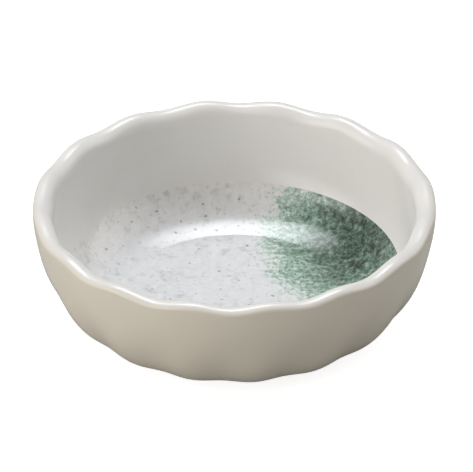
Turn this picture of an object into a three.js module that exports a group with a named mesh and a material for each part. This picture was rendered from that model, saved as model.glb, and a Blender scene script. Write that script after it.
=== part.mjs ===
// Small sauce dish of pressed resin: a round bowl with sixteen flutes outside, a wavy thick lip, a smooth
// well and a low foot ring, with a round printed foil laid into the well.
// Millimetres and degrees. z = 0 is the plane the dish stands on, and the z axis is the dish's own axis.
// A panel between two flute ridges looks along -y.
import * as THREE from "three";

// Outside
const rimRadius = 50;
const rimHeight = 31.2;
const shoulderCentreRadius = 34.1;
const shoulderRadius = 9;
const undersideSlope = 8;
const wallFootAngle = 53;
const wallTopPull = 7.8;
const wallFootPull = 8.6;

// Lip
const lipOuterWidth = 2.5;
const lipOuterDrop = 1.4;
const lipInnerWidth = 1.4;
const lipInnerDrop = 2.2;
const waveHeight = 0.5;
const waveReach = 28;
const waveReachInside = 16;

// Flutes
const fluteCount = 16;
const fluteDepth = 0.5;
const fluteStart = 6.5;
const fluteFull = 22;
const fluteLean = -2.8;

// Foot ring
const footRadius = 30;
const footHeight = 1.6;
const footWidth = 3.2;
const footRounding = 0.6;
const footRecess = 1.5;
const footDraft = 0.5;

// Well
const floorRadius = 28.2;
const floorHeight = 3.7;
const floorBreak = 13;
const covePull = 9;
const innerWallPull = 17;

// Printed foil
const foilRadius = 41.3;
const foilThickness = 0.3;
const foilGap = 0.1;

// Fineness of the facets
const stepsPerFlute = 6;
const stepsOnWall = 8;
const stepsOnShoulder = 6;
const stepsOnLip = 5;
const stepsOnInnerWall = 6;
const stepsOnCove = 7;
const stepsOnRounding = 2;

const radians = THREE.MathUtils.degToRad;
const point = (r, z) => new THREE.Vector2(r, z);
const heading = (angle) => point(Math.cos(radians(angle)), Math.sin(radians(angle)));
const from = (start, angle, length) => start.clone().addScaledVector(heading(angle), length);

// The underside climbs from the foot ring, and the shoulder's arc touches it.
const footTop = point(footRadius + footDraft, footHeight);
const shoulderCentre = point(
  shoulderCentreRadius,
  footTop.y
    + (shoulderCentreRadius - footTop.x) * Math.tan(radians(undersideSlope))
    + shoulderRadius / Math.cos(radians(undersideSlope)),
);
const shoulderStart = undersideSlope - 90;
const shoulderEnd = -wallFootAngle;
const wallFoot = from(shoulderCentre, shoulderEnd, shoulderRadius);
const wallTop = point(rimRadius, rimHeight - lipOuterDrop);
const crest = point(rimRadius - lipOuterWidth, rimHeight);
const innerTop = point(crest.x - lipInnerWidth, rimHeight - lipInnerDrop);
const floorEdge = point(floorRadius, floorHeight);

const outerWall = new THREE.CubicBezierCurve(
  wallFoot,
  from(wallFoot, 90 - wallFootAngle, wallFootPull),
  from(wallTop, -90, wallTopPull),
  wallTop,
);
const innerWall = new THREE.CubicBezierCurve(
  innerTop,
  from(innerTop, -90, innerWallPull),
  from(floorEdge, floorBreak, covePull),
  floorEdge,
);

// Points of a curve between two of its parameters, each pushed into the wall by a depth.
function stretch(curve, start, end, steps, depth = 0) {
  const points = [];
  for (let i = 0; i <= steps; i++) {
    const t = start + ((end - start) * i) / steps;
    const along = curve.getTangent(t);
    points.push(curve.getPoint(t).addScaledVector(point(-along.y, along.x), depth));
  }
  return points;
}

// Points of a round or elliptic stretch about a centre.
function round(centre, width, height, start, end, steps) {
  const points = [];
  for (let i = 0; i <= steps; i++) {
    const way = heading(start + ((end - start) * i) / steps);
    points.push(point(centre.x + width * way.x, centre.y + height * way.y));
  }
  return points;
}

// The parameter at which the inner wall has a radius, found by halving.
function parameterAtRadius(curve, radius) {
  let low = 0;
  let high = 1;
  for (let i = 0; i < 40; i++) {
    const middle = (low + high) / 2;
    if (curve.getPoint(middle).x > radius) low = middle;
    else high = middle;
  }
  return (low + high) / 2;
}

// Share of the way down the wall, from 0 under the lip to 1 at the shoulder.
function wayDown(height) {
  return THREE.MathUtils.clamp((wallTop.y - height) / (wallTop.y - wallFoot.y), 0, 1);
}

// How deep the flutes are at a point of the outside: they grow down the wall and die out under the shoulder.
function fluteShare(p) {
  const under = THREE.MathUtils.clamp((p.x - footTop.x) / (shoulderCentreRadius - footTop.x), 0, 1);
  return THREE.MathUtils.smoothstep(rimHeight - p.y, fluteStart, fluteFull) * under;
}

// How much of the lip's wave a point follows, given how far down the wave reaches there.
function waveShare(p, reach) {
  return THREE.MathUtils.clamp(1 - (rimHeight - p.y) / reach, 0, 1);
}

// Turns a profile about the z axis. The profile's points up to outsideCount are fluted, and all take the wave.
function turned(profile, outsideCount, material, name) {
  const steps = fluteCount * stepsPerFlute;
  const geometry = new THREE.LatheGeometry(profile, steps);
  const position = geometry.getAttribute("position");
  for (let i = 0; i <= steps; i++) {
    const turn = (i % steps) / steps;
    const ridge = -Math.cos(2 * Math.PI * fluteCount * turn);
    profile.forEach((p, j) => {
      const outside = j < outsideCount;
      const lean = outside ? radians(fluteLean) * wayDown(p.y) : 0;
      const radius = p.x + (outside ? fluteDepth * fluteShare(p) * ridge : 0);
      const angle = 2 * Math.PI * turn - Math.PI / 2 + lean;
      position.setXYZ(
        i * profile.length + j,
        radius * Math.cos(angle),
        radius * Math.sin(angle),
        p.y + waveHeight * waveShare(p, outside ? waveReach : waveReachInside) * ridge,
      );
    });
  }
  geometry.deleteAttribute("normal");
  geometry.deleteAttribute("uv");
  const mesh = new THREE.Mesh(geometry, material);
  mesh.name = name;
  return mesh;
}

const foilEnd = parameterAtRadius(innerWall, foilRadius);
const recessEnd = parameterAtRadius(innerWall, foilRadius + foilGap);

// The pressed body, from the middle of the underside round to the middle of the well.
function dishBody() {
  const footInner = footRadius - footWidth;
  const footCorner = (r) => point(r, footRounding);
  const outside = [
    point(0, footRecess),
    point(footInner - footDraft, footRecess),
    ...round(footCorner(footInner + footRounding), footRounding, footRounding, 180, 270, stepsOnRounding),
    ...round(footCorner(footRadius - footRounding), footRounding, footRounding, 270, 360, stepsOnRounding),
    footTop,
    ...round(shoulderCentre, shoulderRadius, shoulderRadius, shoulderStart, shoulderEnd, stepsOnShoulder),
    ...stretch(outerWall, 0, 1, stepsOnWall).slice(1),
    ...round(point(crest.x, wallTop.y), lipOuterWidth, lipOuterDrop, 0, 90, stepsOnLip).slice(1),
  ];
  const inside = [
    ...round(point(crest.x, innerTop.y), lipInnerWidth, lipInnerDrop, 90, 180, stepsOnLip).slice(1),
    ...stretch(innerWall, 0, recessEnd, stepsOnInnerWall).slice(1),
    ...stretch(innerWall, recessEnd, 1, stepsOnCove, foilThickness + foilGap).slice(0, -1),
    point(floorRadius, floorHeight - foilThickness - foilGap),
    point(0, floorHeight - foilThickness - foilGap),
  ];
  const resin = new THREE.MeshStandardMaterial({ color: 0xe3dfd6, roughness: 0.3, metalness: 0 });
  return turned([...outside, ...inside], outside.length, resin, "dish_body");
}

// The printed foil, which fills the well's shallow recess up to the level of the wall above it.
function patternFoil() {
  const profile = [
    point(0, floorHeight - foilThickness),
    point(floorRadius, floorHeight - foilThickness),
    ...stretch(innerWall, 1, foilEnd, stepsOnCove, foilThickness).slice(1),
    ...stretch(innerWall, foilEnd, 1, stepsOnCove).slice(0, -1),
    floorEdge,
    point(0, floorHeight),
  ];
  const print = new THREE.MeshStandardMaterial({ color: 0xdcdddc, roughness: 0.22, metalness: 0 });
  return turned(profile, 0, print, "pattern_foil");
}

const dish = new THREE.Group();
dish.add(dishBody(), patternFoil());

export default dish;
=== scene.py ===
"""A small fluted sauce dish with a printed round in its well, standing on a pale floor."""

from math import cos, pi, radians, sin, tan

import bpy
from mathutils import Matrix, Vector


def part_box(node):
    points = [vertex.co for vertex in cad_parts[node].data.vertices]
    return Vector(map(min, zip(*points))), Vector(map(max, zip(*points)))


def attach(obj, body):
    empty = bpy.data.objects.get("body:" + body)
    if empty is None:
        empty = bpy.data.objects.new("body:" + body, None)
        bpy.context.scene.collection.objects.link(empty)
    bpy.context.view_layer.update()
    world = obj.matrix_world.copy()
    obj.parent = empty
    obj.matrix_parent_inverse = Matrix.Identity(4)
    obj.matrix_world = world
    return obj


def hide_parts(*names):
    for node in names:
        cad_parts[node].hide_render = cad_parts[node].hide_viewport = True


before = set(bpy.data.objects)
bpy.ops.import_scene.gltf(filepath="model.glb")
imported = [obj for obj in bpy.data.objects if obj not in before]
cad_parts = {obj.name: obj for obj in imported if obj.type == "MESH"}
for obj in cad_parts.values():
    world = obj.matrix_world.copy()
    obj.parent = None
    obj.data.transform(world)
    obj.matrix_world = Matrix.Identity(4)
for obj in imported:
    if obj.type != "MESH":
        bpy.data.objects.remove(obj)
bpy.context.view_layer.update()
scene = bpy.context.scene

# The camera stands well back and looks down at the dish from 32 degrees, so that the far and near walls of
# the dish are drawn at nearly one scale. Places in the picture are pixels from its upper left corner.
MM = 0.001
FRAME_WIDTH, FRAME_HEIGHT = 473, 472
RIM_CENTRE_PIXEL = (234.4, 201.85)
CAMERA_DISTANCE = 1.4
CAMERA_ELEVATION = radians(31.86)
CAMERA_AZIMUTH = radians(1.6)
CAMERA_ROLL = radians(-0.27)
PIXELS_PER_METRE = 4036
SENSOR_WIDTH = 36
FARTHEST_SEEN = 20
RIM_HEIGHT = 31.2 * MM


def add_camera():
    rim_centre = Vector((0, 0, RIM_HEIGHT))
    turn = Matrix.Rotation(CAMERA_AZIMUTH, 3, "Z")
    back = turn @ Vector((0, -cos(CAMERA_ELEVATION), sin(CAMERA_ELEVATION)))
    right = turn @ Vector((1, 0, 0))
    up = back.cross(right)
    place = rim_centre + back * CAMERA_DISTANCE
    across = (FRAME_WIDTH / 2 - RIM_CENTRE_PIXEL[0]) / PIXELS_PER_METRE
    down = (FRAME_HEIGHT / 2 - RIM_CENTRE_PIXEL[1]) / PIXELS_PER_METRE
    aim = rim_centre + right * across - up * down
    data = bpy.data.cameras.new("camera")
    data.sensor_width = SENSOR_WIDTH
    data.lens = PIXELS_PER_METRE * CAMERA_DISTANCE / FRAME_WIDTH * SENSOR_WIDTH
    data.clip_end = FARTHEST_SEEN
    camera = bpy.data.objects.new("camera", data)
    look = (place - aim).to_track_quat("Z", "Y").to_matrix()
    look = look @ Matrix.Rotation(CAMERA_ROLL, 3, "Z")
    camera.matrix_world = Matrix.Translation(place) @ look.to_4x4()
    scene.collection.objects.link(camera)
    scene.camera = camera


add_camera()

# The body is one pressed moulding of melamine resin. Its profile is turned about the upright axis, and the
# outside carries sixteen flutes that deepen towards the shoulder while the lip rises and falls with them.
# It is white inside and on the lip, and a warm pale grey-beige outside.
LOW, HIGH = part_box("dish_body")
RIM_RADIUS = (HIGH.x - LOW.x) / 2
FLUTES = 16
FLUTE_DEPTH, FLUTE_START, FLUTE_FULL = 0.5 * MM, 6.5 * MM, 22 * MM
FLUTE_LEAN = radians(-2.8)
WAVE_HEIGHT, WAVE_REACH, WAVE_REACH_INSIDE = 0.5 * MM, 28 * MM, 16 * MM
LIP_OUTER_WIDTH, LIP_OUTER_DROP = 2.1 * MM, 1.4 * MM
LIP_INNER_WIDTH, LIP_INNER_DROP = 2.9 * MM, 3.6 * MM
LIP_WHITE_DROP = 1.0 * MM
SHOULDER_CENTRE_RADIUS, SHOULDER_RADIUS = 34.1 * MM, 9 * MM
UNDERSIDE_SLOPE, WALL_FOOT_ANGLE = radians(8), radians(53)
WALL_TOP_PULL, WALL_FOOT_PULL = 7.8 * MM, 8.6 * MM
FOOT_RADIUS, FOOT_HEIGHT, FOOT_WIDTH = 30 * MM, 1.6 * MM, 3.2 * MM
FOOT_ROUNDING, FOOT_RECESS, FOOT_DRAFT = 0.6 * MM, 1.5 * MM, 0.5 * MM
FLOOR_RADIUS, FLOOR_HEIGHT, FLOOR_BREAK = 28.2 * MM, 3.7 * MM, radians(13)
COVE_PULL, INNER_WALL_PULL = 9 * MM, 17.7 * MM
FOIL_RADIUS, FOIL_THICKNESS, FOIL_BED = 41.3 * MM, 0.3 * MM, 0.02 * MM
FLAT_MARGIN = 0.3 * MM
STEPS_PER_FLUTE = 24
STEPS_ON_FOOT, STEPS_ON_SHOULDER, STEPS_ON_WALL = 6, 14, 26
STEPS_ON_LIP_OUTSIDE, STEPS_ON_LIP_INSIDE = 12, 10
STEPS_ON_INNER_WALL, STEPS_ON_COVE = 20, 20
HALVINGS = 50
WELD = 1e-7
SHARP_EDGE = radians(30)
RESIN_IOR = 1.5
POLISH_SPREAD = 0.06
BODY_ROUGHNESS, BODY_SKIN = 0.2, 0.006 * MM
WHITES = (0.79, 0.772, 0.75, 1), (0.83, 0.812, 0.79, 1)
BEIGES = (0.73, 0.68, 0.58, 1), (0.77, 0.72, 0.62, 1)


def heading(angle):
    return Vector((cos(angle), sin(angle)))


def arc(centre, width, height, start, end, steps):
    """Points of a round or elliptic stretch, from one angle to another."""
    turns = [start + (end - start) * i / steps for i in range(steps + 1)]
    return [Vector((centre.x + width * cos(t), centre.y + height * sin(t))) for t in turns]


class Bow:
    """A cubic curve between two points, drawn out along a direction at each of them."""

    def __init__(self, start, start_angle, start_pull, end, end_angle, end_pull):
        start_knot = start + heading(start_angle) * start_pull
        end_knot = end + heading(end_angle) * end_pull
        self.knots = (start, start_knot, end_knot, end)

    def at(self, t):
        a, b, c, d = self.knots
        return (1 - t) ** 3 * a + 3 * (1 - t) ** 2 * t * b + 3 * (1 - t) * t * t * c + t ** 3 * d

    def along(self, t):
        a, b, c, d = self.knots
        way = (1 - t) ** 2 * (b - a) + 2 * (1 - t) * t * (c - b) + t * t * (d - c)
        return way.normalized()

    def points(self, start, end, steps, depth=0.0):
        """Points between two parameters, each pushed to the left of the way by a depth."""
        found = []
        for i in range(steps + 1):
            t = start + (end - start) * i / steps
            way = self.along(t)
            found.append(self.at(t) + Vector((-way.y, way.x)) * depth)
        return found

    def parameter_at_radius(self, radius):
        low, high = 0.0, 1.0
        for _ in range(HALVINGS):
            middle = (low + high) / 2
            low, high = (middle, high) if self.at(middle).x > radius else (low, middle)
        return (low + high) / 2


foot_top = Vector((FOOT_RADIUS + FOOT_DRAFT, FOOT_HEIGHT))
shoulder_rise = (SHOULDER_CENTRE_RADIUS - foot_top.x) * tan(UNDERSIDE_SLOPE)
shoulder_centre = Vector(
    (SHOULDER_CENTRE_RADIUS, foot_top.y + shoulder_rise + SHOULDER_RADIUS / cos(UNDERSIDE_SLOPE))
)
wall_foot = shoulder_centre + heading(-WALL_FOOT_ANGLE) * SHOULDER_RADIUS
wall_top = Vector((RIM_RADIUS, RIM_HEIGHT - LIP_OUTER_DROP))
crest = Vector((RIM_RADIUS - LIP_OUTER_WIDTH, RIM_HEIGHT))
inner_top = Vector((crest.x - LIP_INNER_WIDTH, RIM_HEIGHT - LIP_INNER_DROP))
floor_edge = Vector((FLOOR_RADIUS, FLOOR_HEIGHT))
outer_wall = Bow(wall_foot, pi / 2 - WALL_FOOT_ANGLE, WALL_FOOT_PULL, wall_top, -pi / 2, WALL_TOP_PULL)
inner_wall = Bow(inner_top, -pi / 2, INNER_WALL_PULL, floor_edge, FLOOR_BREAK, COVE_PULL)
foil_end = inner_wall.parameter_at_radius(FOIL_RADIUS)


def clamp(value):
    return min(max(value, 0.0), 1.0)


def way_down(height):
    """Share of the way down the wall, from 0 under the lip to 1 at the shoulder."""
    return clamp((wall_top.y - height) / (wall_top.y - wall_foot.y))


def flute_share(p):
    """The flutes grow down the wall and die out under the shoulder."""
    under = clamp((p.x - foot_top.x) / (SHOULDER_CENTRE_RADIUS - foot_top.x))
    grown = clamp((RIM_HEIGHT - p.y - FLUTE_START) / (FLUTE_FULL - FLUTE_START))
    return grown * grown * (3 - 2 * grown) * under


def wave_share(p, reach):
    return clamp(1 - (RIM_HEIGHT - p.y) / reach)


def profile_mesh(name, points, outside_count):
    """The turned profile as a row of vertices that carry what each ring of the dish does."""
    mesh = bpy.data.meshes.new(name)
    mesh.from_pydata([(p.x, 0, p.y) for p in points], [], [])
    outer = [i < outside_count for i in range(len(points))]
    rows = {
        "flute": [flute_share(p) if o else 0.0 for p, o in zip(points, outer)],
        "wave": [wave_share(p, WAVE_REACH if o else WAVE_REACH_INSIDE) for p, o in zip(points, outer)],
        "lean": [way_down(p.y) if o else 0.0 for p, o in zip(points, outer)],
        "outside": [clamp((crest.y - p.y) / LIP_WHITE_DROP) if o else 0.0 for p, o in zip(points, outer)],
    }
    for key, values in rows.items():
        mesh.attributes.new(key, "FLOAT", "POINT").data.foreach_set("value", values)
    return mesh


class Web:
    """The nodes of one tree, set down and joined step by step."""

    def __init__(self, tree):
        self.nodes, self.links = tree.nodes, tree.links

    def add(self, kind, inputs=None, **settings):
        """A node with its settings, and its inputs by name or number, each a plain value or an output."""
        node = self.nodes.new(kind)
        for key, value in settings.items():
            setattr(node, key, value)
        for key, value in (inputs or {}).items():
            if isinstance(value, bpy.types.NodeSocket):
                self.links.new(value, node.inputs[key])
            else:
                node.inputs[key].default_value = value
        return node

    def math(self, operation, *values):
        return self.add("ShaderNodeMath", dict(enumerate(values)), operation=operation).outputs[0]

    def vector(self, operation, *values, **named):
        """What a vector step yields, which is a plain number for a length or a dot product."""
        node = self.add("ShaderNodeVectorMath", dict(enumerate(values)) | named, operation=operation)
        return node.outputs["Value" if operation in ("LENGTH", "DOT_PRODUCT") else "Vector"]

    def mapped(self, value, start, end, low=0.0, high=1.0, curve="LINEAR"):
        """A value carried over from one stretch to another, and held at the ends."""
        inputs = {"Value": value, "From Min": start, "From Max": end, "To Min": low, "To Max": high}
        return self.add("ShaderNodeMapRange", inputs, interpolation_type=curve).outputs[0]

    def noise(self, place, scale, detail=2.0, roughness=0.5):
        """Cloudy noise with about so many lumps to the metre."""
        inputs = {"Vector": place, "Scale": scale, "Detail": detail, "Roughness": roughness}
        return self.add("ShaderNodeTexNoise", inputs).outputs[0]

    def mixed(self, share, first, second):
        """A mix of two colours, by the numbers of the Mix node's colour sockets."""
        return self.add("ShaderNodeMix", {0: share, 6: first, 7: second}, data_type="RGBA").outputs[2]

    def attribute_of_ring(self, name, profile, ring):
        """What the profile's own vertex holds, for each vertex of the turned grid."""
        held = self.add("GeometryNodeInputNamedAttribute", {"Name": name}, data_type="FLOAT")
        sampled = {"Geometry": profile, "Value": held.outputs[0], "Index": ring}
        return self.add("GeometryNodeSampleIndex", sampled, data_type="FLOAT").outputs[0]


def turning_tree():
    """Geometry nodes that turn a profile about the upright axis, with flutes, a lean and a wave."""
    tree = bpy.data.node_groups.new("turned_and_fluted", "GeometryNodeTree")
    sockets = {
        "Profile": "Geometry", "Rings": "Int", "Steps": "Int", "Flutes": "Float", "Flute Depth": "Float",
        "Lean": "Float", "Wave Height": "Float", "Material": "Material",
    }
    for name, kind in sockets.items():
        tree.interface.new_socket(name, in_out="INPUT", socket_type="NodeSocket" + kind)
    tree.interface.new_socket("Dish", in_out="OUTPUT", socket_type="NodeSocketGeometry")
    web = Web(tree)
    math = web.math
    given = web.add("NodeGroupInput").outputs

    # A grid one unit wide: its X runs once round the dish, and its Y along the profile.
    columns = math("ADD", given["Steps"], 1.0)
    grid = web.add("GeometryNodeMeshGrid", {
        "Size X": 1.0, "Size Y": 1.0, "Vertices X": columns, "Vertices Y": given["Rings"],
    })
    on_grid = web.add("GeometryNodeInputPosition").outputs[0]
    on_grid = web.add("ShaderNodeSeparateXYZ", {0: on_grid}).outputs
    turn = math("MULTIPLY", math("ADD", on_grid["X"], 0.5), 2 * pi)
    ring = math("MULTIPLY", math("ADD", on_grid["Y"], 0.5), math("SUBTRACT", given["Rings"], 1.0))
    ring = math("ROUND", ring)
    flute, wave, lean, outside = (
        web.attribute_of_ring(name, given["Profile"], ring) for name in ("flute", "wave", "lean", "outside")
    )
    profile_place = web.add("GeometryNodeSampleIndex", {
        "Geometry": given["Profile"], "Value": web.add("GeometryNodeInputPosition").outputs[0], "Index": ring,
    }, data_type="FLOAT_VECTOR").outputs[0]
    on_profile = web.add("ShaderNodeSeparateXYZ", {0: profile_place}).outputs

    ridge = math("MULTIPLY", math("COSINE", math("MULTIPLY", turn, given["Flutes"])), -1.0)
    angle = math("ADD", math("SUBTRACT", turn, pi / 2), math("MULTIPLY", lean, given["Lean"]))
    deep = math("MULTIPLY", math("MULTIPLY", flute, given["Flute Depth"]), ridge)
    high = math("MULTIPLY", math("MULTIPLY", wave, given["Wave Height"]), ridge)
    radius = math("ADD", on_profile["X"], deep)
    place = web.add("ShaderNodeCombineXYZ", {
        "X": math("MULTIPLY", radius, math("COSINE", angle)),
        "Y": math("MULTIPLY", radius, math("SINE", angle)),
        "Z": math("ADD", on_profile["Z"], high),
    }).outputs[0]
    marked = web.add("GeometryNodeStoreNamedAttribute", {
        "Geometry": grid.outputs["Mesh"], "Name": "outside", "Value": outside,
    }, data_type="FLOAT", domain="POINT").outputs[0]
    turned = web.add("GeometryNodeSetPosition", {0: marked, "Position": place}).outputs[0]
    closed = web.add("GeometryNodeMergeByDistance", {0: turned, "Distance": WELD}).outputs[0]
    outward = web.add("GeometryNodeFlipFaces", {0: closed}).outputs[0]
    smooth = web.add("GeometryNodeSetShadeSmooth", {0: outward}).outputs[0]
    real = web.add("GeometryNodeRealizeInstances", {0: smooth}).outputs[0]
    finished = web.add("GeometryNodeSetMaterial", {0: real, "Material": given["Material"]}).outputs[0]
    web.add("NodeGroupOutput", {0: finished})
    return tree


TURNING = turning_tree()


def turned_piece(name, points, outside_count, material):
    """A plain mesh turned from a profile by the geometry nodes."""
    maker = bpy.data.objects.new(name + "_profile", profile_mesh(name, points, outside_count))
    scene.collection.objects.link(maker)
    modifier = maker.modifiers.new("turning", "NODES")
    modifier.node_group = TURNING
    values = {
        "Rings": len(points), "Steps": FLUTES * STEPS_PER_FLUTE, "Flutes": float(FLUTES),
        "Flute Depth": FLUTE_DEPTH, "Lean": FLUTE_LEAN, "Wave Height": WAVE_HEIGHT, "Material": material,
    }
    for socket in TURNING.interface.items_tree:
        if socket.in_out == "INPUT" and socket.name in values:
            modifier[socket.identifier] = values[socket.name]
    maker.update_tag()
    graph = bpy.context.evaluated_depsgraph_get()
    mesh = bpy.data.meshes.new_from_object(maker.evaluated_get(graph))
    mesh.name = name
    mesh.set_sharp_from_angle(angle=SHARP_EDGE)
    bpy.data.objects.remove(maker)
    piece = bpy.data.objects.new(name, mesh)
    scene.collection.objects.link(piece)
    return piece


def shader_group(name, inputs, outputs):
    """An empty group of shader nodes with its named inputs and outputs."""
    tree = bpy.data.node_groups.new(name, "ShaderNodeTree")
    for in_out, sockets in (("INPUT", inputs), ("OUTPUT", outputs)):
        for key, kind in sockets.items():
            tree.interface.new_socket(key, in_out=in_out, socket_type="NodeSocket" + kind)
    return tree


def polish_group():
    """The gloss that a polished mould leaves: broad dull and bright patches, and a barely wavy skin."""
    patch_scale, patch_detail = 90.0, 4.0
    scuff_scale, scuff_share = 1400.0, 0.4
    skin_scale, skin_detail = 260.0, 1.0
    mean = 0.7
    tree = shader_group(
        "polish", {"Place": "Vector", "Roughness": "Float", "Spread": "Float"},
        {"Roughness": "Float", "Height": "Float"},
    )
    web = Web(tree)
    given = web.add("NodeGroupInput").outputs
    patches = web.noise(given["Place"], patch_scale, patch_detail)
    scuffs = web.noise(given["Place"], scuff_scale)
    skin = web.noise(given["Place"], skin_scale, skin_detail)
    uneven = web.math("ADD", web.math("MULTIPLY", scuffs, scuff_share), patches)
    uneven = web.math("MULTIPLY", web.math("SUBTRACT", uneven, mean), given["Spread"])
    web.add("NodeGroupOutput", {"Roughness": web.math("ADD", given["Roughness"], uneven), "Height": skin})
    return tree


POLISH = polish_group()


def new_material(name, roughness, skin_depth):
    """A glossy resin's material with its polish, its nodes, its place on the piece and its shader."""
    material = bpy.data.materials.new(name)
    material.use_nodes = True
    web = Web(material.node_tree)
    shader = web.nodes["Principled BSDF"]
    shader.inputs["IOR"].default_value = RESIN_IOR
    place = web.add("ShaderNodeTexCoord").outputs["Object"]
    values = {"Place": place, "Roughness": roughness, "Spread": POLISH_SPREAD}
    polish = web.add("ShaderNodeGroup", values, node_tree=POLISH).outputs
    web.links.new(polish["Roughness"], shader.inputs["Roughness"])
    bump = web.add("ShaderNodeBump", {"Distance": skin_depth, "Height": polish["Height"]})
    web.links.new(bump.outputs[0], shader.inputs["Normal"])
    return material, web, place, shader


def body_resin():
    """White inside and on the lip, beige outside, each a little cloudy and finely grained."""
    cloud_scale, cloud_detail, cloud_share = 60.0, 3.0, 0.6
    grain_scale, grain_share = 1100.0, 0.4
    material, web, place, shader = new_material("pressed_resin", BODY_ROUGHNESS, BODY_SKIN)
    side = web.add("ShaderNodeAttribute", attribute_name="outside").outputs["Fac"]
    cloud = web.math("MULTIPLY", web.noise(place, cloud_scale, cloud_detail), cloud_share)
    grain = web.math("MULTIPLY", web.noise(place, grain_scale), grain_share)
    uneven = web.math("ADD", cloud, grain)
    colour = web.mixed(side, web.mixed(uneven, *WHITES), web.mixed(uneven, *BEIGES))
    web.links.new(colour, shader.inputs["Base Color"])
    return material


def dish_body():
    foot_inner = FOOT_RADIUS - FOOT_WIDTH
    inner_corner = Vector((foot_inner + FOOT_ROUNDING, FOOT_ROUNDING))
    outer_corner = Vector((FOOT_RADIUS - FOOT_ROUNDING, FOOT_ROUNDING))
    shoulder_start = UNDERSIDE_SLOPE - pi / 2
    lip_outside, lip_inside = Vector((crest.x, wall_top.y)), Vector((crest.x, inner_top.y))
    bed_depth = FOIL_THICKNESS + FOIL_BED
    outside = [
        Vector((0, FOOT_RECESS)),
        Vector((foot_inner - FOOT_DRAFT - FLAT_MARGIN, FOOT_RECESS)),
        Vector((foot_inner - FOOT_DRAFT, FOOT_RECESS)),
        *arc(inner_corner, FOOT_ROUNDING, FOOT_ROUNDING, pi, 1.5 * pi, STEPS_ON_FOOT),
        *arc(outer_corner, FOOT_ROUNDING, FOOT_ROUNDING, 1.5 * pi, 2 * pi, STEPS_ON_FOOT),
        foot_top,
        *arc(
            shoulder_centre, SHOULDER_RADIUS, SHOULDER_RADIUS, shoulder_start, -WALL_FOOT_ANGLE,
            STEPS_ON_SHOULDER,
        ),
        *outer_wall.points(0, 1, STEPS_ON_WALL)[1:],
        *arc(lip_outside, LIP_OUTER_WIDTH, LIP_OUTER_DROP, 0, pi / 2, STEPS_ON_LIP_OUTSIDE)[1:],
    ]
    inside = [
        *arc(lip_inside, LIP_INNER_WIDTH, LIP_INNER_DROP, pi / 2, pi, STEPS_ON_LIP_INSIDE)[1:],
        *inner_wall.points(0, foil_end, STEPS_ON_INNER_WALL)[1:],
        *inner_wall.points(foil_end, 1, STEPS_ON_COVE, bed_depth)[:-1],
        Vector((FLOOR_RADIUS, FLOOR_HEIGHT - FOIL_THICKNESS - FOIL_BED)),
        Vector((0, FLOOR_HEIGHT - FOIL_THICKNESS - FOIL_BED)),
    ]
    piece = turned_piece("fluted_body", outside + inside, len(outside), body_resin())
    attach(piece, "root")
    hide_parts("dish_body")


dish_body()

# The printed foil is a thin round sheet that is laid into the well and fused there under a clear gloss. Its
# ground is white with grey smudges and specks, and one side is sprayed with a mottled green. Below, a drift
# is a noise by its grain and its reach, and the green's stops go from thin to thick paint.
FLOOR_FILLET = 2 * MM
STEPS_ON_FILLET = 4
SHEET_DRAW = 0.45
STRAY_GRAIN, STRAY_REACH = 0.8 * MM, 0.9 * MM
FOIL_ROUGHNESS, FOIL_SKIN = 0.05, 0.004 * MM
GROUND_WHITES = (0.73, 0.73, 0.745, 1), (0.88, 0.88, 0.895, 1)
EDGE_WHITES = (0.735, 0.718, 0.698, 1), (0.885, 0.866, 0.842, 1)
EDGE_FADE = 33 * MM
CLOUD_DRIFTS = (1.1 * MM, 0.9), (3.5 * MM, 0.9)
SMUDGE_GRAIN, SMUDGE_DETAIL, SMUDGE_RAGGEDNESS = 2.4 * MM, 4.0, 0.6
SMUDGE_BORDER, SMUDGE_FULL = 0.53, 0.7
SMUDGE_STRENGTH, SMUDGE_GREY = 0.45, (0.42, 0.42, 0.41, 1)
FINE_SPECKS = {"Spacing": 1.8 * MM, "Radius": 0.45 * MM, "Softness": 1.0}
FINE_PATCHES, FINE_BORDER, FINE_FULL, FINE_SHARE = 7 * MM, 0.4, 0.65, 0.7
FINE_STRENGTH, FINE_GREY = 0.3, (0.28, 0.28, 0.275, 1)
DARK_SPECKS = {"Spacing": 6 * MM, "Radius": 0.44 * MM, "Share": 0.6, "Softness": 0.9}
DARK_STRENGTH, DARK_GREY = 0.75, (0.10, 0.105, 0.10, 1)
SPRAY_CENTRE = Vector((30.5, 18.5, 0)) * MM
SPRAY_ACROSS, SPRAY_ALONG = (1.0, 0.15, 0.0), (0.0, 0.8, 0.0)
SPRAY_REACH, SPRAY_FALLOFF = 26 * MM, 1.4
SPRAY_DRIFTS = (14 * MM, 2 * MM), (5 * MM, 7 * MM), (1.3 * MM, 12 * MM)
PAINT_DEPTH, PAINT_EDGE = 0.9, 0.1
MOTTLE_RISE = 5.0
MOTTLE_DRIFTS = (0.55 * MM, 0.7), (1.2 * MM, 1.0), (2.6 * MM, 0.7), (7 * MM, 0.2)
GREEN_STOPS = (
    (0.0, (0.80, 0.81, 0.81, 1)), (0.12, (0.60, 0.70, 0.645, 1)), (0.35, (0.35, 0.48, 0.41, 1)),
    (0.6, (0.175, 0.265, 0.205, 1)), (0.82, (0.08, 0.125, 0.09, 1)), (1.0, (0.03, 0.045, 0.034, 1)),
)
GREEN_DROPS = {"Spacing": 1.5 * MM, "Radius": 0.32 * MM, "Share": 0.55, "Softness": 0.8}
DROP_BORDER, DROP_FULL = -0.1, 0.3
DROP_STRENGTH, DROP_GREEN = 0.75, (0.04, 0.07, 0.05, 1)


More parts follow.
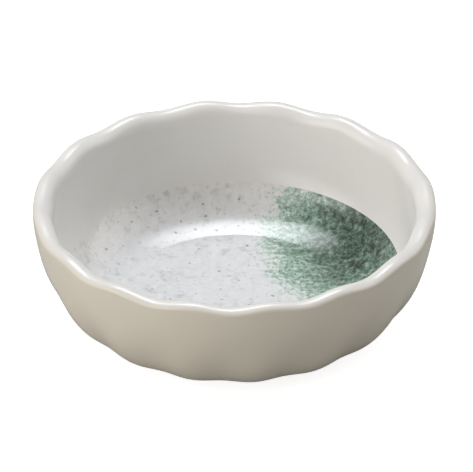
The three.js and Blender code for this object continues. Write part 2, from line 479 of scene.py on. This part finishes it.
def specks_group():
    """Round flecks strewn over a flat sheet: how far apart, how large, how many places hold one, how soft."""
    smallest = 0.5
    tree = shader_group(
        "specks",
        {"Place": "Vector", "Spacing": "Float", "Radius": "Float", "Share": "Float", "Softness": "Float"},
        {"Mask": "Float"},
    )
    web = Web(tree)
    given = web.add("NodeGroupInput").outputs
    cells = {"Vector": given["Place"], "Scale": web.math("DIVIDE", 1.0, given["Spacing"]), "Randomness": 1.0}
    cells = web.add("ShaderNodeTexVoronoi", cells, voronoi_dimensions="2D").outputs
    chance = web.add("ShaderNodeSeparateColor", {0: cells["Color"]}).outputs
    away = web.math("MULTIPLY", cells["Distance"], given["Spacing"])
    size = web.math("MULTIPLY", given["Radius"], web.math("ADD", smallest, chance[1]))
    core = web.math("SUBTRACT", 1.0, given["Softness"])
    fleck = web.mapped(web.math("DIVIDE", away, size), 1.0, core, curve="SMOOTHSTEP")
    held = web.math("LESS_THAN", chance[0], given["Share"])
    web.add("NodeGroupOutput", {"Mask": web.math("MULTIPLY", fleck, held)})
    return tree


SPECKS = specks_group()


def specks(web, place, values, **more):
    return web.add("ShaderNodeGroup", {"Place": place} | values | more, node_tree=SPECKS).outputs["Mask"]


def drifted(web, base, place, drifts):
    """A value with noises added to it, each of a grain and a reach to both sides."""
    for grain, reach in drifts:
        drift = web.math("SUBTRACT", web.noise(place, 1 / grain), 0.5)
        base = web.math("ADD", base, web.math("MULTIPLY", drift, reach))
    return base


def way_out(web, place):
    """The level way from the dish's axis to a place."""
    return web.vector("MULTIPLY", place, (1.0, 1.0, 0.0))


def on_flat_sheet(web, place):
    """Where a place of the pressed round lay while it was flat: what stands on the slope lay further out."""
    climbed = web.math("SUBTRACT", web.add("ShaderNodeSeparateXYZ", {0: place}).outputs["Z"], FLOOR_HEIGHT)
    way = way_out(web, place)
    drawn = web.math("DIVIDE", web.math("MULTIPLY", climbed, SHEET_DRAW), web.vector("LENGTH", way))
    return web.vector("SCALE", way, Scale=web.math("ADD", 1.0, drawn))


def astray(web, place):
    """A place that wanders a little, so that what is drawn there comes out ragged."""
    wander = {"Vector": place, "Scale": 1 / STRAY_GRAIN, "Detail": 2.0}
    wander = web.add("ShaderNodeTexNoise", wander).outputs["Color"]
    wander = web.vector("SUBTRACT", wander, (0.5, 0.5, 0.5))
    return web.vector("ADD", place, web.vector("SCALE", wander, Scale=STRAY_REACH))


def white_ground(web, place, sheet_place):
    """Cloudy white, as warm as the wall at the print's edge, with smudges, fine specks and a few dark ones."""
    cloud = drifted(web, 0.5, place, CLOUD_DRIFTS)
    near_edge = web.mapped(web.vector("LENGTH", way_out(web, place)), EDGE_FADE, FOIL_RADIUS)
    ground = web.mixed(near_edge, web.mixed(cloud, *GROUND_WHITES), web.mixed(cloud, *EDGE_WHITES))
    smudges = web.noise(place, 1 / SMUDGE_GRAIN, SMUDGE_DETAIL, SMUDGE_RAGGEDNESS)
    smudges = web.mapped(smudges, SMUDGE_BORDER, SMUDGE_FULL, 0.0, SMUDGE_STRENGTH)
    ground = web.mixed(smudges, ground, SMUDGE_GREY)
    strewn = web.mapped(web.noise(place, 1 / FINE_PATCHES), FINE_BORDER, FINE_FULL, 0.0, FINE_SHARE)
    fine = web.math("MULTIPLY", specks(web, sheet_place, FINE_SPECKS, Share=strewn), FINE_STRENGTH)
    ground = web.mixed(fine, ground, FINE_GREY)
    dark = web.math("MULTIPLY", specks(web, sheet_place, DARK_SPECKS), DARK_STRENGTH)
    return web.mixed(dark, ground, DARK_GREY)


def spray_cover(web, place):
    """How thickly the green is sprayed: 1 in the middle of the blot, 0 at its edge, less than 0 outside."""
    away = web.vector("SUBTRACT", place, SPRAY_CENTRE)
    across, along = (web.vector("DOT_PRODUCT", away, axis) for axis in (SPRAY_ACROSS, SPRAY_ALONG))
    away = web.vector("LENGTH", web.add("ShaderNodeCombineXYZ", {"X": across, "Y": along}).outputs[0])
    away = drifted(web, away, place, SPRAY_DRIFTS)
    share = web.math("MAXIMUM", web.math("DIVIDE", away, SPRAY_REACH), 0.0)
    return web.math("SUBTRACT", 1.0, web.math("POWER", share, SPRAY_FALLOFF))


def green_paint(web, paint):
    """The green of so much paint."""
    shades = web.add("ShaderNodeValToRGB", {0: paint})
    elements = shades.color_ramp.elements
    while len(elements) < len(GREEN_STOPS):
        elements.new(1.0)
    for element, (position, colour) in zip(elements, GREEN_STOPS):
        element.position, element.color = position, colour
    return shades.outputs[0]


def sprayed_over(web, place, sheet_place, ground):
    """The mottled green on the ground, ragged where it thins out, with darker drops in and round it."""
    spray = spray_cover(web, place)
    cover = web.math("MAXIMUM", spray, 0.0)
    mottle = drifted(web, 0.0, place, MOTTLE_DRIFTS)
    mottle = web.math("MULTIPLY", mottle, web.math("MINIMUM", web.math("MULTIPLY", cover, MOTTLE_RISE), 1.0))
    paint = web.math("ADD", web.math("MULTIPLY", cover, PAINT_DEPTH), mottle)
    tone = web.mixed(web.mapped(paint, 0.0, PAINT_EDGE), ground, green_paint(web, paint))
    fallen = web.mapped(spray, DROP_BORDER, DROP_FULL)
    drops = web.math("MULTIPLY", specks(web, sheet_place, GREEN_DROPS), fallen)
    return web.mixed(web.math("MULTIPLY", drops, DROP_STRENGTH), tone, DROP_GREEN)


def foil_print():
    material, web, place, shader = new_material("printed_foil", FOIL_ROUGHNESS, FOIL_SKIN)
    sheet_place = astray(web, on_flat_sheet(web, place))
    ground = white_ground(web, place, sheet_place)
    web.links.new(sprayed_over(web, place, sheet_place, ground), shader.inputs["Base Color"])
    return material


def pattern_foil():
    fillet_reach = FLOOR_FILLET * tan(FLOOR_BREAK / 2)
    fillet_end = inner_wall.parameter_at_radius(FLOOR_RADIUS + fillet_reach)
    fillet_centre = Vector((FLOOR_RADIUS - fillet_reach, FLOOR_HEIGHT + FLOOR_FILLET))
    fillet_start = FLOOR_BREAK - pi / 2
    points = [
        Vector((0, FLOOR_HEIGHT - FOIL_THICKNESS)),
        Vector((FLOOR_RADIUS, FLOOR_HEIGHT - FOIL_THICKNESS)),
        *inner_wall.points(1, foil_end, STEPS_ON_COVE, FOIL_THICKNESS)[1:],
        *inner_wall.points(foil_end, fillet_end, STEPS_ON_COVE)[:-1],
        *arc(fillet_centre, FLOOR_FILLET, FLOOR_FILLET, fillet_start, -pi / 2, STEPS_ON_FILLET),
        Vector((fillet_centre.x - FLAT_MARGIN, FLOOR_HEIGHT)),
        Vector((0, FLOOR_HEIGHT)),
    ]
    piece = turned_piece("printed_round", points, 0, foil_print())
    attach(piece, "root")
    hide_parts("pattern_foil")


pattern_foil()

# The floor is a pale matt plane a hair below the foot ring. Only the camera sees it glow, so that it comes
# out white where no shadow falls on it, while it throws no more than its own pale colour at the dish.
FLOOR_HALF_WIDTH = 3.0
FLOOR_LEVEL = -0.02 * MM
FLOOR_COLOUR = (0.5, 0.495, 0.485, 1)
FLOOR_GLOW = 0.86


def add_floor():
    mesh = bpy.data.meshes.new("floor")
    half, level = FLOOR_HALF_WIDTH, FLOOR_LEVEL
    corners = [(-half, -half, level), (half, -half, level), (half, half, level), (-half, half, level)]
    mesh.from_pydata(corners, [], [(0, 1, 2, 3)])
    floor = bpy.data.objects.new("floor", mesh)
    scene.collection.objects.link(floor)
    material = bpy.data.materials.new("pale_floor")
    material.use_nodes = True
    web = Web(material.node_tree)
    web.nodes.clear()
    plain = web.add("ShaderNodeBsdfDiffuse", {"Color": FLOOR_COLOUR}).outputs[0]
    glow = web.add("ShaderNodeEmission", {"Color": (1, 1, 1, 1), "Strength": FLOOR_GLOW}).outputs[0]
    seen = web.add("ShaderNodeAddShader", {0: plain, 1: glow}).outputs[0]
    by_camera = web.add("ShaderNodeLightPath").outputs["Is Camera Ray"]
    shown = web.add("ShaderNodeMixShader", {0: by_camera, 1: plain, 2: seen}).outputs[0]
    web.add("ShaderNodeOutputMaterial", {"Surface": shown})
    mesh.materials.append(material)


add_floor()

# The room is dim and pale, white to the camera and not quite half as bright in a gloss. A large window
# lights the dish from the left front, a soft box hangs high behind it, and two weaker broad panels stand for
# the ceiling and the wall on the right.
ROOM_COLOUR, ROOM_STRENGTH = (1, 0.985, 0.96, 1), 0.12
BACKDROP_IN_GLOSS = 0.45
PANEL_RIM, PANEL_CORE = 0.5, 0.1


def add_room():
    world = bpy.data.worlds.new("pale_room")
    scene.world = world
    world.use_nodes = True
    web = Web(world.node_tree)
    web.nodes.clear()
    room = web.add("ShaderNodeBackground", {"Color": ROOM_COLOUR, "Strength": ROOM_STRENGTH}).outputs[0]
    seen = web.add("ShaderNodeBackground", {"Color": (1, 1, 1, 1), "Strength": 1.0}).outputs[0]
    path = web.add("ShaderNodeLightPath").outputs
    in_gloss = web.math("MULTIPLY", path["Is Glossy Ray"], BACKDROP_IN_GLOSS)
    white = web.math("MAXIMUM", path["Is Camera Ray"], in_gloss)
    shown = web.add("ShaderNodeMixShader", {0: white, 1: room, 2: seen}).outputs[0]
    web.add("ShaderNodeOutputWorld", {"Surface": shown})


def add_panel(name, azimuth, elevation, distance, size, brightness, colour):
    """A lamp panel that faces the dish, is so many times as bright as white and fades towards its rim.

    It is placed by the compass: azimuth 0 is behind the dish, and 90 on its right.
    """
    width, height = size
    data = bpy.data.lights.new(name, "AREA")
    data.shape = "RECTANGLE"
    data.size, data.size_y = width, height
    data.energy = brightness * pi * width * height
    data.color = colour
    data.use_nodes = True
    web = Web(data.node_tree)
    across = web.add("ShaderNodeNewGeometry").outputs["Parametric"]
    across = web.vector("SUBTRACT", across, (0.5, 0.5, 0.0))
    away = web.vector("LENGTH", web.vector("MULTIPLY", across, (1.0, 1.0, 0.0)))
    glow = web.mapped(away, PANEL_RIM, PANEL_CORE, curve="SMOOTHSTEP")
    web.links.new(glow, web.nodes["Emission"].inputs["Strength"])
    turn, rise = radians(azimuth), radians(elevation)
    place = distance * Vector((cos(rise) * sin(turn), cos(rise) * cos(turn), sin(rise)))
    lamp = bpy.data.objects.new(name, data)
    lamp.matrix_world = Matrix.Translation(place) @ place.to_track_quat("Z", "Y").to_matrix().to_4x4()
    scene.collection.objects.link(lamp)


add_room()
add_panel(
    "window", azimuth=237, elevation=20, distance=1.8, size=(3.6, 2.4), brightness=2.65,
    colour=(1, 0.96, 0.90),
)
add_panel(
    "soft_box", azimuth=-10, elevation=63, distance=1.6, size=(1.75, 1.0), brightness=8.9,
    colour=(0.92, 0.96, 1),
)
add_panel(
    "ceiling", azimuth=208, elevation=57, distance=2.0, size=(3.0, 2.4), brightness=0.7,
    colour=(0.99, 0.98, 0.97),
)
add_panel(
    "right_wall", azimuth=72, elevation=32, distance=2.0, size=(3.2, 2.4), brightness=1.75,
    colour=(1, 0.98, 0.95),
)
scene.view_settings.view_transform = "Standard"
